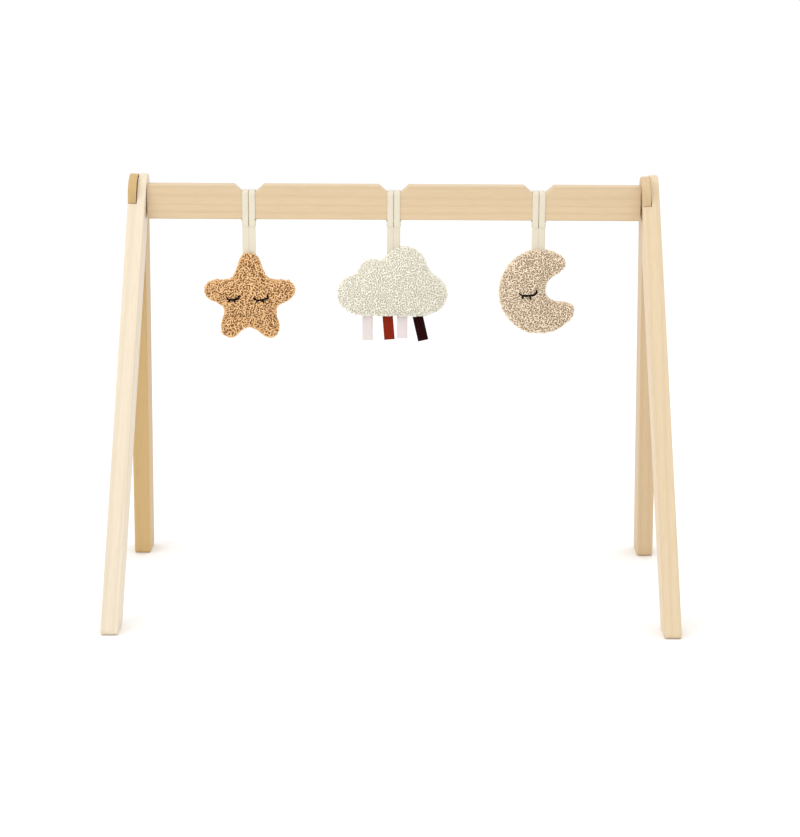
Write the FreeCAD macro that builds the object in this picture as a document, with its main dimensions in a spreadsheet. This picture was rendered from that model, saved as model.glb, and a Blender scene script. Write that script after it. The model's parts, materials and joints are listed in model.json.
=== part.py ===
import FreeCAD, Part
import math
import os

import Sketcher

# Wooden activity play gym: two halved A-frames, a crossbar bolted between their heads, and a
# star, a cloud and a moon that hang from the bar on hitched tapes.
# Frame: origin on the floor under the middle, +X along the bar, +Y to the rear, +Z up.
# Lengths in millimetres, angles in degrees.

Vector = FreeCAD.Vector
Placement = FreeCAD.Placement
Rotation = FreeCAD.Rotation

ACROSS = Vector(1, 0, 0)
REARWARD = Vector(0, 1, 0)
CENTRE = Vector(0, 0, 0)

SIZES = {
    # crossbar
    "bar_length": 630,
    "bar_thick": 20,
    "bar_height": 44,
    "bar_level": 523,
    "bar_gap": 0.2,
    "notch_spacing": 185.5,
    "notch_top": 38,
    "notch_bottom": 17,
    "notch_depth": 9.5,
    # legs
    "leg_thick": 22,
    "leg_width": 44,
    "leg_reach": 640,
    "leg_lean": 17.7,
    "leg_splay": 3,
    "head_offset": 13,
    "edge_round": 1.5,
    "foot_round": 6,
    "lap_gap": 1.0,
    # hardware
    "bolt_radius": 3,
    "bolt_length": 60,
    "bolt_hole": 3.3,
    "head_radius": 8.5,
    "head_height": 3,
    "socket_radius": 2.3,
    "socket_depth": 2,
    "recess_radius": 9.6,
    "recess_depth": 6,
    "washer_radius": 9,
    "washer_thick": 1.5,
    "insert_radius": 5,
    "insert_length": 15,
    "insert_bore": 3.05,
    "dowel_radius": 4,
    "dowel_length": 28,
    "dowel_spare": 1,
    "dowel_drop": 13,
    "dowel_leg_depth": 9,
    # hanging tapes
    "tape_width": 8,
    "tape_thick": 1,
    "tape_gap": 0.6,
    "tape_clear": 0.1,
    "bight_width": 22,
    "bight_thick": 1.5,
    "bight_top": 1.1,
    "bight_height": 9.4,
    "hitch_drop": 11.4,
    "hinge_drop": 12,
    "toy_clear": 0.6,
    "stitch_height": 4,
    # toys
    "cover_thick": 2,
    "fill_clear": 0.2,
    "star_round": 12,
    "star_level": 398.2,
    "star_top": 460.5,
    "star_depth": 42,
    "cloud_top": 467.4,
    "cloud_depth": 46,
    "moon_radius": 55.4,
    "moon_offset": 5.2,
    "moon_level": 409.2,
    "moon_top": 464.6,
    "moon_mouth": 25,
    "mouth_offset": 33.8,
    "mouth_rise": 6.8,
    "mouth_flare_up": 46,
    "mouth_flare_down": 18,
    "horn_round": 10,
    "moon_depth": 44,
    "thread_width": 1.2,
    "thread_thick": 0.6,
    # ribbon tags
    "ribbon_width": 13.5,
    "ribbon_thick": 1.2,
    "ribbon_level": 374.6,
}

# Star corners down its right half: degrees above +X, reach from the centre before rounding.
STAR_CORNERS = ((90, 83), (53, 35), (15, 79), (-22, 37.5), (-56, 77.5), (-90, 38.5))

# Cloud lobes: across from the tape, height of the centre, radius.
CLOUD_LOBES = {
    "top": (14.5, 436.0, 31.4),
    "shoulder": (27.0, 420.0, 28.0),
    "upper": (-26.5, 429.5, 21.5),
    "saddle": (-14.0, 430.0, 20.5),
    "lower": (-48.5, 404.0, 24.6),
    "far": (44.0, 404.7, 26.3),
}
CLOUD_BASE = 375.5
CLOUD_WAIST = 425

# Ribbon tags: across from the tape, length, lean of the tag's foot towards +X.
RIBBONS = {
    "ribbon_pale_left": (-33.3, 30.3, 0),
    "ribbon_rust": (-7.2, 29.2, 4.5),
    "ribbon_pale_right": (11.5, 27.9, 0),
    "ribbon_maroon": (32.2, 29.8, 13),
}

# Closed eyes: across from the tape, height, half width.
STAR_EYES = ((-19.5, 402.5, 7.5), (16.5, 402.5, 8.5))
MOON_EYES = ((-11.5, 411.0, 11.5),)

SIDES = {"left": -1, "right": 1}
ENDS = {"front": -1, "rear": 1}

doc = FreeCAD.newDocument("play_gym")
sheet = doc.addObject("Spreadsheet::Sheet", "Dimensions")
for row, (alias, value) in enumerate(SIZES.items(), 1):
    sheet.set(f"A{row}", alias)
    sheet.set(f"B{row}", str(value))
    sheet.setAlias(f"B{row}", alias)
doc.recompute()

nodes = []


def size(alias):
    """A driving dimension, read from the sheet."""
    return float(sheet.get(alias))


def bind(item, prop, formula):
    """Tie a property to sheet cells: every plain word in the formula is an alias."""
    words = []
    for word in formula.split():
        words.append(f"Dimensions.{word}" if word in SIZES else word)
    item.setExpression(prop, " ".join(words))


def place(item, corner):
    """Tie an object's position to three formulas."""
    for letter, formula in zip("xyz", corner):
        bind(item, f"Placement.Base.{letter}", formula)


def turn(item, axis, formula):
    """Tie an object's rotation about an axis through its own origin to a formula."""
    item.Placement = Placement(item.Placement.Base, Rotation(axis, 1))
    bind(item, "Placement.Rotation.Angle", formula)


def box(name, sides, corner):
    item = doc.addObject("Part::Box", name)
    for prop, formula in zip(("Length", "Width", "Height"), sides):
        bind(item, prop, formula)
    place(item, corner)
    return item


def joined(name, items):
    result = doc.addObject("Part::MultiFuse", name)
    result.Shapes = items
    result.Refine = True
    return result


def group(name, items):
    result = doc.addObject("Part::Compound", name)
    result.Links = items
    return result


def cut(name, base, tool):
    result = doc.addObject("Part::Cut", name)
    result.Base = base
    result.Tool = tool
    return result


def rounded(name, base, radius, chosen):
    """Fillet the edges that chosen(edge) picks."""
    doc.recompute()
    result = doc.addObject("Part::Fillet", name)
    result.Base = base
    amount = size(radius)
    result.Edges = [
        (number, amount, amount)
        for number, edge in enumerate(base.Shape.Edges, 1)
        if chosen(edge)
    ]
    return result


def part(item, label):
    """Name a finished sub-part."""
    item.Label = label
    nodes.append(item)
    return item


def rod(name, radius, height, side, start, level="bar_level"):
    """A cylinder along X that starts at a formula's distance from the middle and runs outward."""
    item = doc.addObject("Part::Cylinder", name)
    bind(item, "Radius", radius)
    bind(item, "Height", height)
    item.Placement = Placement(CENTRE, Rotation(REARWARD, 90 * side))
    place(item, (f"{side} * ( {start} )", "0", level))
    return item


def on_face(edge, position):
    """Does the whole edge lie in the plane x = position?"""
    return all(abs(point.x - position) < 0.01 for point in edge.discretize(5))


# ---------------------------------------------------------------- crossbar

NOTCH_COUNT = 3
BAR_END = "bar_length / 2"
BOLT_SEAT = "bar_length / 2 + bar_height / 2 * tan( leg_splay * 1 deg ) + bar_gap" \
            " + leg_thick - recess_depth"


def origin_plane(body, role):
    for feature in body.Origin.OriginFeatures:
        if feature.Role == role:
            return feature
    raise ValueError(role)


def outline_sketch(body, name, role, points, formulas):
    """A closed outline of straight lines whose corners are tied to the sheet."""
    sketch = body.newObject("Sketcher::SketchObject", name)
    sketch.AttachmentSupport = [(origin_plane(body, role), "")]
    sketch.MapMode = "FlatFace"
    count = len(points)
    for index, point in enumerate(points):
        following = points[(index + 1) % count]
        sketch.addGeometry(Part.LineSegment(Vector(*point, 0), Vector(*following, 0)))
    for index in range(count):
        sketch.addConstraint(Sketcher.Constraint("Coincident", index, 2, (index + 1) % count, 1))
    for index, (point, formula) in enumerate(zip(points, formulas)):
        for kind, value, text in zip(("DistanceX", "DistanceY"), point, formula):
            number = sketch.addConstraint(Sketcher.Constraint(kind, -1, 1, index, 1, value))
            bind(sketch, f"Constraints[{number}]", text)
    return sketch


def crossbar():
    body = doc.addObject("PartDesign::Body", "crossbar_body")
    half = size("bar_length") / 2
    low = size("bar_level") - size("bar_height") / 2
    high = low + size("bar_height")
    blank = outline_sketch(
        body, "bar_outline", "XZ_Plane",
        ((-half, low), (half, low), (half, high), (-half, high)),
        (("- bar_length / 2", "bar_level - bar_height / 2"),
         ("bar_length / 2", "bar_level - bar_height / 2"),
         ("bar_length / 2", "bar_level + bar_height / 2"),
         ("- bar_length / 2", "bar_level + bar_height / 2")))
    pad = body.newObject("PartDesign::Pad", "bar_pad")
    pad.Profile = blank
    pad.Midplane = True
    bind(pad, "Length", "bar_thick")
    doc.recompute()

    top_half = size("notch_top") / 2
    bottom_half = size("notch_bottom") / 2
    first = -size("notch_spacing")
    floor = high - size("notch_depth")
    notch = outline_sketch(
        body, "notch_outline", "XZ_Plane",
        ((first - bottom_half, floor), (first + bottom_half, floor),
         (first + top_half, high), (first - top_half, high)),
        (("- notch_spacing - notch_bottom / 2", "bar_level + bar_height / 2 - notch_depth"),
         ("- notch_spacing + notch_bottom / 2", "bar_level + bar_height / 2 - notch_depth"),
         ("- notch_spacing + notch_top / 2", "bar_level + bar_height / 2"),
         ("- notch_spacing - notch_top / 2", "bar_level + bar_height / 2")))
    pocket = body.newObject("PartDesign::Pocket", "notch_pocket")
    pocket.Profile = notch
    pocket.Midplane = True
    bind(pocket, "Length", "bar_thick * 2")
    doc.recompute()

    pattern = body.newObject("PartDesign::LinearPattern", "notch_pattern")
    pattern.Originals = [pocket]
    pattern.Direction = (notch, ["H_Axis"])
    bind(pattern, "Length", "2 * notch_spacing")
    pattern.Occurrences = NOTCH_COUNT
    body.Tip = pattern

    edges = rounded("bar_rounded", body, "edge_round", lambda edge: is_bar_arris(edge))
    tools = []
    for name, side in SIDES.items():
        tools.append(rod(f"insert_hole_{name}", "insert_radius", "insert_length + 1",
                         side, f"{BAR_END} - insert_length"))
        tools.append(rod(f"shank_hole_{name}", "bolt_hole", "bolt_length",
                         side, f"{BOLT_SEAT} - bolt_length - dowel_spare"))
        tools.append(rod(f"dowel_hole_bar_{name}", "dowel_radius", "dowel_length * 2",
                         side, f"{BAR_END} - dowel_length + dowel_leg_depth - 2 * dowel_spare",
                         "bar_level - dowel_drop"))
    part(cut("crossbar", edges, group("bar_holes", tools)), "crossbar")


def is_bar_arris(edge):
    """The long front and rear edges of the bar, the notches' edges among them."""
    middle = edge.CenterOfMass
    on_side = abs(abs(middle.y) - size("bar_thick") / 2) < 0.01
    return on_side and abs(edge.tangentAt(edge.FirstParameter).z) < 0.95


# ---------------------------------------------------------------- legs

def leg_blank(name, side, end):
    """A round-headed leg with a foot sawn to the floor, in its A-frame's own frame.

    That frame has its origin at the head's axis on the inner face, +Z up the A-frame and the
    splay not yet applied.
    """
    x_start = "0" if side > 0 else "- leg_thick"
    shaft = box(f"{name}_shaft", ("leg_thick", "leg_width", "leg_reach + head_offset"),
                (x_start, "- leg_width / 2", "- leg_reach"))
    head = doc.addObject("Part::Cylinder", f"{name}_head")
    bind(head, "Radius", "leg_width / 2")
    bind(head, "Height", "leg_thick")
    head.Placement = Placement(CENTRE, Rotation(REARWARD, 90))
    place(head, (x_start, "0", "head_offset"))
    leaning = group(f"{name}_leaning", [joined(f"{name}_stick", [shaft, head])])
    turn(leaning, ACROSS, f"{end} * leg_lean")

    ground = box(f"{name}_ground", ("leg_reach * 2", "leg_reach * 2", "leg_reach"),
                 ("- leg_reach", "- leg_reach", "- bar_level - leg_reach"))
    ground_level = group(f"{name}_ground_level", [ground])
    turn(ground_level, REARWARD, f"{side} * leg_splay")
    sawn = cut(f"{name}_sawn", leaning, ground_level)

    def is_foot_corner(edge):
        low = edge.CenterOfMass.z < -size("bar_level") * 0.9
        return low and abs(edge.tangentAt(edge.FirstParameter).x) > 0.9

    corners = rounded(f"{name}_corners", sawn, "foot_round", is_foot_corner)
    outer = side * size("leg_thick")
    return rounded(f"{name}_arrises", corners, "edge_round",
                   lambda edge: on_face(edge, 0) or on_face(edge, outer))


def lap_recess(name, side, end):
    """The half of the head that is cut away where the other leg crosses.

    It is bounded by the other leg's lower edge, so the long shoulder bears on that edge. The
    rear legs keep the -X half of the head and the front legs the +X half, on both A-frames.
    """
    middle = "leg_thick / 2" if side > 0 else "- leg_thick / 2"
    keeps_low_half = end > 0
    x_start = f"{middle} - lap_gap / 2" if keeps_low_half else f"{middle} + lap_gap / 2 - leg_thick"
    y_start = "- leg_reach + leg_width / 2 + lap_gap" if end > 0 else "- leg_width / 2 - lap_gap"
    recess = box(f"{name}_recess", ("leg_thick", "leg_reach", "leg_reach"),
                 (x_start, y_start, "- leg_reach / 2"))
    crossing = group(f"{name}_crossing", [recess])
    turn(crossing, ACROSS, f"{-end} * leg_lean")
    return crossing


def leg_holes(name, side, end):
    """The bolt's hole and head recess, and the dowel's blind hole, level with the bar's own."""
    through = rod(f"{name}_through", "bolt_hole", "leg_thick * 2", side, "- leg_thick / 2", "0")
    recess = rod(f"{name}_head_recess", "recess_radius", "leg_thick", side,
                 "leg_thick - recess_depth", "0")
    dowel = rod(f"{name}_dowel_hole", "dowel_radius", "dowel_leg_depth * 2", side,
                "- dowel_leg_depth", "- dowel_drop")
    level = group(f"{name}_holes", [through, recess, dowel])
    turn(level, REARWARD, f"{side} * leg_splay")
    return level


def leg(side_name, end_name):
    side = SIDES[side_name]
    end = ENDS[end_name]
    name = f"{end_name}_leg_{side_name}"
    lapped = cut(f"{name}_lapped", leg_blank(name, side, end), lap_recess(name, side, end))
    drilled = cut(f"{name}_drilled", lapped, leg_holes(name, side, end))
    turn(drilled, REARWARD, f"{-side} * leg_splay")
    place(drilled, (f"{side} * ( bar_length / 2 + bar_height / 2 * tan( leg_splay * 1 deg ) + bar_gap )",
                    "0", "bar_level"))
    part(drilled, name)


# ---------------------------------------------------------------- hardware

def hardware(side_name):
    """Bolt, washer, threaded insert and dowel that fix one A-frame to one end of the bar."""
    side = SIDES[side_name]
    seat = f"{BOLT_SEAT} + washer_thick"

    head = rod(f"bolt_head_{side_name}", "head_radius", "head_height", side, seat)
    shank = rod(f"bolt_shank_{side_name}", "bolt_radius", "bolt_length + 1", side,
                f"{seat} - bolt_length")
    socket = doc.addObject("Part::Prism", f"bolt_socket_{side_name}")
    socket.Polygon = 6
    bind(socket, "Circumradius", "socket_radius")
    bind(socket, "Height", "socket_depth * 2")
    socket.Placement = Placement(CENTRE, Rotation(REARWARD, 90 * side))
    place(socket, (f"{side} * ( {seat} + head_height - socket_depth )", "0", "bar_level"))
    blank = joined(f"bolt_blank_{side_name}", [head, shank])
    part(cut(f"bolt_{side_name}_cut", blank, socket), f"bolt_{side_name}")

    disc = rod(f"washer_disc_{side_name}", "washer_radius", "washer_thick", side, BOLT_SEAT)
    eye = rod(f"washer_eye_{side_name}", "bolt_hole", "washer_thick * 3", side,
              f"{BOLT_SEAT} - washer_thick")
    part(cut(f"washer_{side_name}_cut", disc, eye), f"washer_{side_name}")

    sleeve = rod(f"insert_sleeve_{side_name}", "insert_radius", "insert_length", side,
                 f"{BAR_END} - insert_length")
    bore = rod(f"insert_bore_{side_name}", "insert_bore", "insert_length * 2", side,
               f"{BAR_END} - insert_length * 3 / 2")
    part(cut(f"insert_{side_name}_cut", sleeve, bore), f"threaded_insert_{side_name}")

    dowel = rod(f"dowel_{side_name}_rod", "dowel_radius", "dowel_length", side,
                f"{BAR_END} - dowel_length + dowel_leg_depth - dowel_spare", "bar_level - dowel_drop")
    part(dowel, f"dowel_{side_name}")


# ---------------------------------------------------------------- hanging tapes

TOYS = {"star": -1, "cloud": 0, "moon": 1}
FRONT = "- bar_thick / 2 - tape_clear"
UNDERSIDE = "bar_level - bar_height / 2"


def strand_starts(place_number):
    """Where the tape's two side-by-side strands start across the bar."""
    middle = f"{place_number} * notch_spacing"
    return (f"{middle} - tape_gap / 2 - tape_width", f"{middle} + tape_gap / 2")


def strap_wrap(toy, number):
    """The hitch: two strands round the bar, and the bight that crosses behind them below it."""
    pieces = []
    for index, start in enumerate(strand_starts(number)):
        name = f"{toy}_wrap_{index}"
        outer = box(f"{name}_outer",
                    ("tape_width", "bar_thick + 2 * tape_clear + 2 * tape_thick",
                     "bar_height - notch_depth + 2 * tape_clear + 2 * tape_thick"),
                    (start, f"{FRONT} - tape_thick", f"{UNDERSIDE} - tape_clear - tape_thick"))
        inner = box(f"{name}_inner",
                    ("tape_width * 2", "bar_thick + 2 * tape_clear",
                     "bar_height - notch_depth + 2 * tape_clear"),
                    (f"{start} - tape_width / 2", FRONT, f"{UNDERSIDE} - tape_clear"))
        pieces.append(cut(name, outer, inner))
        pieces.append(box(f"{name}_tail", ("tape_width", "tape_thick", "hitch_drop"),
                          (start, f"{FRONT} - tape_thick", f"{UNDERSIDE} - hitch_drop")))
    pieces.append(box(f"{toy}_bight", ("bight_width", "bight_thick", "bight_height"),
                      (f"{number} * notch_spacing - bight_width / 2", FRONT,
                       f"{UNDERSIDE} - bight_top - bight_height")))
    part(joined(f"{toy}_wrap_fused", pieces), f"{toy}_strap_wrap")


def strap_drop(toy, number):
    """The free length between the hitch and the toy, its strands sewn together at the foot."""
    foot = f"{toy}_top + toy_clear"
    pieces = []
    for index, start in enumerate(strand_starts(number)):
        pieces.append(box(f"{toy}_drop_{index}",
                          ("tape_width", "tape_thick", f"{UNDERSIDE} - hinge_drop - ( {foot} )"),
                          (start, f"{FRONT} - tape_thick", foot)))
    pieces.append(box(f"{toy}_stitch", ("2 * tape_width + tape_gap", "tape_thick", "stitch_height"),
                      (strand_starts(number)[0], f"{FRONT} - tape_thick", foot)))
    part(joined(f"{toy}_drop_fused", pieces), f"{toy}_strap_drop")


# ---------------------------------------------------------------- toys

def toy_centre(number):
    """Across and front-to-back place of a toy's middle, in line with its tape."""
    across = number * size("notch_spacing")
    depth = -size("bar_thick") / 2 - size("tape_clear") - size("tape_thick") / 2
    return across, depth


def disc(across, level, radius, start, end):
    """A round slab between two front-to-back positions."""
    return Part.makeCylinder(radius, end - start, Vector(across, start, level), REARWARD)


def rounded_outline(corners, radius):
    """A closed wire of straight runs with an arc of the given radius at each corner."""
    edges = []
    count = len(corners)
    bends = []
    for index, corner in enumerate(corners):
        before = (corners[index - 1] - corner).normalize()
        after = (corners[(index + 1) % count] - corner).normalize()
        half_angle = before.getAngle(after) / 2
        reach = radius / math.tan(half_angle)
        inward = (before + after).normalize()
        middle = corner + inward * (radius / math.sin(half_angle) - radius)
        bends.append((corner + before * reach, middle, corner + after * reach))
    for index, (start, middle, end) in enumerate(bends):
        edges.append(Part.Arc(start, middle, end).toShape())
        edges.append(Part.makeLine(end, bends[(index + 1) % count][0]))
    return Part.Wire(edges)


def star_block(across, inset, start, end):
    """The star between two front-to-back positions, its outline drawn in by inset."""
    left_half = tuple((180 - angle, reach) for angle, reach in STAR_CORNERS[-2:0:-1])
    points = []
    for angle, reach in STAR_CORNERS + left_half:
        points.append(Vector(across + reach * math.cos(math.radians(angle)), start,
                             size("star_level") + reach * math.sin(math.radians(angle))))
    face = Part.Face(rounded_outline(points, size("star_round")))
    if inset:
        face = face.makeOffset2D(-inset)
    return face.extrude(Vector(0, end - start, 0))


def cloud_block(across, inset, start, end):
    """The cloud: round lobes joined by a flat-bottomed middle."""
    lobes = [
        disc(across + offset, level, radius - inset, start, end)
        for offset, level, radius in CLOUD_LOBES.values()
    ]
    left = across + CLOUD_LOBES["lower"][0]
    right = across + CLOUD_LOBES["far"][0]
    base = CLOUD_BASE + inset
    middle = Part.makeBox(right - left, end - start, CLOUD_WAIST - base, Vector(left, start, base))
    return middle.multiFuse(lobes).removeSplitter()


def moon_block(across, inset, start, end):
    """The crescent: a disc less a round mouth that flares out to two blunt horns."""
    centre = Vector(across + size("moon_offset"), start, size("moon_level"))
    radius = size("moon_radius") - inset
    whole = disc(centre.x, centre.z, radius, start, end)
    mouth_centre = centre + Vector(size("mouth_offset"), -1, size("mouth_rise"))
    hollow = size("moon_mouth") + inset
    deep = disc(mouth_centre.x, mouth_centre.z, hollow, start - 1, end + 1)

    upper_edge = flare(mouth_centre, hollow, size("mouth_flare_up"), 90)
    lower_edge = flare(mouth_centre, hollow, -size("mouth_flare_down"), -90)
    corners = upper_edge + lower_edge[::-1] + upper_edge[:1]
    wedge = Part.Face(Part.makePolygon(corners)).extrude(Vector(0, end - start + 2, 0))
    crescent = whole.cut(deep.fuse(wedge))

    def is_horn(edge):
        middle = edge.CenterOfMass
        reach = math.hypot(middle.x - centre.x, middle.z - centre.z)
        front_to_back = edge.BoundBox.YLength > 0.9 * (end - start)
        return front_to_back and reach > 0.98 * radius

    return crescent.makeFillet(size("horn_round") - inset, [e for e in crescent.Edges if is_horn(e)])


def flare(centre, radius, slope, side):
    """A straight run that leaves a circle on one side and climbs at slope degrees."""
    along = Vector(math.cos(math.radians(slope)), 0, math.sin(math.radians(slope)))
    outward = Vector(math.cos(math.radians(slope + side)), 0, math.sin(math.radians(slope + side)))
    touch = centre + outward * radius
    return [touch, touch + along * 2 * radius]


def feature(label, shape):
    item = doc.addObject("Part::Feature", label)
    item.Shape = shape
    item.Placement = Placement(CENTRE, Rotation())
    return part(item, label)


def toy(name, number, block):
    """A front and a back cover sewn at the rim, round one filling."""
    across, depth = toy_centre(number)
    reach = size(f"{name}_depth") / 2
    wall = size("cover_thick")
    front = depth - reach
    rear = depth + reach
    front_shell = block(across, 0, front, depth).cut(block(across, wall, front + wall, depth + 1))
    back_shell = block(across, 0, depth, rear).cut(block(across, wall, depth - 1, rear - wall))
    spare = wall + size("fill_clear")
    feature(f"{name}_front_panel", front_shell)
    feature(f"{name}_back_panel", back_shell)
    feature(f"{name}_filling", block(across, spare, front + spare, rear - spare))


def closed_eyes(label, name, number, eyes):
    """Embroidered closed eyes: shallow arcs of thread laid on the front cover."""
    across, depth = toy_centre(number)
    thick = size("thread_thick")
    face = depth - size(f"{name}_depth") / 2
    arcs = []
    for offset, level, half in eyes:
        centre = across + offset
        ring = disc(centre, level, half, face - thick, face)
        ring = ring.cut(disc(centre, level, half - size("thread_width"), face - thick, face))
        lower = Part.makeBox(2 * half, thick, half, Vector(centre - half, face - thick, level - half))
        arcs.append(ring.common(lower))
    feature(label, Part.makeCompound(arcs))


def ribbon(label, offset, length, lean):
    """A folded ribbon tag that hangs from the cloud's lower seam."""
    fold = box(f"{label}_fold", ("ribbon_width", "ribbon_thick", f"{length}"),
               ("- ribbon_width / 2", "- ribbon_thick / 2", f"- {length}"))
    hanging = group(f"{label}_hanging", [fold])
    if lean:
        turn(hanging, REARWARD, f"- {lean}")
    place(hanging, (f"{offset}", f"{FRONT} - tape_thick / 2",
                    f"ribbon_level - ribbon_width / 2 * sin( {lean} * 1 deg )"))
    part(hanging, label)


# ---------------------------------------------------------------- assembly

crossbar()
for side_name in SIDES:
    for end_name in ENDS:
        leg(side_name, end_name)
    hardware(side_name)
for toy_name, toy_number in TOYS.items():
    strap_wrap(toy_name, toy_number)
    strap_drop(toy_name, toy_number)
toy("star", TOYS["star"], star_block)
toy("cloud", TOYS["cloud"], cloud_block)
toy("moon", TOYS["moon"], moon_block)
closed_eyes("star_eyes", "star", TOYS["star"], STAR_EYES)
closed_eyes("moon_eye", "moon", TOYS["moon"], MOON_EYES)
for ribbon_name, ribbon_place in RIBBONS.items():
    ribbon(ribbon_name, *ribbon_place)

doc.recompute()
failed = [item.Name for item in doc.Objects if {"Invalid", "Error"} & set(item.State)]
if failed:
    raise RuntimeError(f"features failed: {failed}")
os.makedirs("parts", exist_ok=True)
for node in nodes:
    shape = node.Shape
    if shape.isNull() or not shape.isValid() or shape.Volume <= 0:
        raise RuntimeError(f"{node.Label} has no valid solid")
for node in nodes:
    node.Shape.exportStep(f"parts/{node.Label}.step")
    bounds = node.Shape.BoundBox
    print(f"{node.Label:26s} {node.Shape.Volume / 1000:9.2f} cm3  "
          f"x {bounds.XMin:8.2f} {bounds.XMax:8.2f}  y {bounds.YMin:8.2f} {bounds.YMax:8.2f}  "
          f"z {bounds.ZMin:8.2f} {bounds.ZMax:8.2f}  solids {len(node.Shape.Solids)}")
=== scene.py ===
import json
import math

import bpy
import numpy as np
from mathutils import Matrix, Vector
from mathutils.bvhtree import BVHTree


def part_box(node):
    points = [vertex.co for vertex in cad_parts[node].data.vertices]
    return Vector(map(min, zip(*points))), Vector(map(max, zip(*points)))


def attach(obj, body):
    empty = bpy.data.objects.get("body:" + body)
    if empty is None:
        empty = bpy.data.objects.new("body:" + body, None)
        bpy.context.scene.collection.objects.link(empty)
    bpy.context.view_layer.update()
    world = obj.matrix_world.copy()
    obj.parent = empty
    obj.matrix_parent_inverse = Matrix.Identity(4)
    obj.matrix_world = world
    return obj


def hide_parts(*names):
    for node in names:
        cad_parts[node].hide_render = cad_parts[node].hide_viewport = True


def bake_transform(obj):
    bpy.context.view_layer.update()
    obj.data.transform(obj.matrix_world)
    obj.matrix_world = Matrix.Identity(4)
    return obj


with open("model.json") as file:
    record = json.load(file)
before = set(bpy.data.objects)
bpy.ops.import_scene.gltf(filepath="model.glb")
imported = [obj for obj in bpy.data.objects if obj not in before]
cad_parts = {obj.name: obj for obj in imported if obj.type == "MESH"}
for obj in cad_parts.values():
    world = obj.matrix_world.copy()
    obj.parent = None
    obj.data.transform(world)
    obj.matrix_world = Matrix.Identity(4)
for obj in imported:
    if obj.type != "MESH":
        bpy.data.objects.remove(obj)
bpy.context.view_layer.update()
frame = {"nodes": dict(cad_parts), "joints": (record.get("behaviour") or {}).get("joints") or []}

MM = 0.001
JOINTS = {joint["name"]: joint for joint in frame["joints"]}


# ---------------------------------------------------------------- colours

def linear(red, green, blue):
    """An sRGB colour given as 0 to 255, in the linear values that Blender's shaders use."""
    def channel(value):
        value /= 255
        return value / 12.92 if value <= 0.04045 else ((value + 0.055) / 1.055) ** 2.4
    return (channel(red), channel(green), channel(blue), 1.0)


# Each board's colour. The rear legs' colours are darker and more golden with painted shade, as their
# faces tilt towards the floor; the left front leg's is paler, partly its own tone and partly a painted
# highlight from the key light.
BOARDS = {
    "crossbar": linear(213, 189, 153),
    "front_leg_left": linear(226, 212, 189),
    "front_leg_right": linear(221, 199, 165),
    "rear_leg_left": linear(200, 167, 112),
    "rear_leg_right": linear(208, 181, 142),
}
TAPE_LIGHT = linear(231, 224, 206)
TAPE_DARK = linear(214, 204, 181)
# Each pile's tip colour, and its root colour darkened with painted shade where the curls meet the
# backing; the backing is painted darker still.
TAN_TIP = linear(250, 208, 153)
TAN_SHADED_ROOT = linear(163, 112, 66)
WHITE_TIP = linear(253, 250, 237)
WHITE_SHADED_ROOT = linear(238, 233, 215)
BEIGE_TIP = linear(252, 236, 212)
BEIGE_SHADED_ROOT = linear(198, 172, 142)
THREAD = linear(14, 6, 5)
DOWEL = linear(205, 172, 128)
STEEL = linear(205, 207, 210)
INSERT_METAL = linear(206, 178, 110)
RIBBONS = {
    "ribbon_pale": (linear(226, 216, 214), linear(218, 206, 205)),
    "ribbon_rust": (linear(140, 40, 21), linear(118, 30, 15)),
    "ribbon_maroon": (linear(38, 4, 6), linear(26, 2, 3)),
}


# ---------------------------------------------------------------- node helpers

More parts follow.
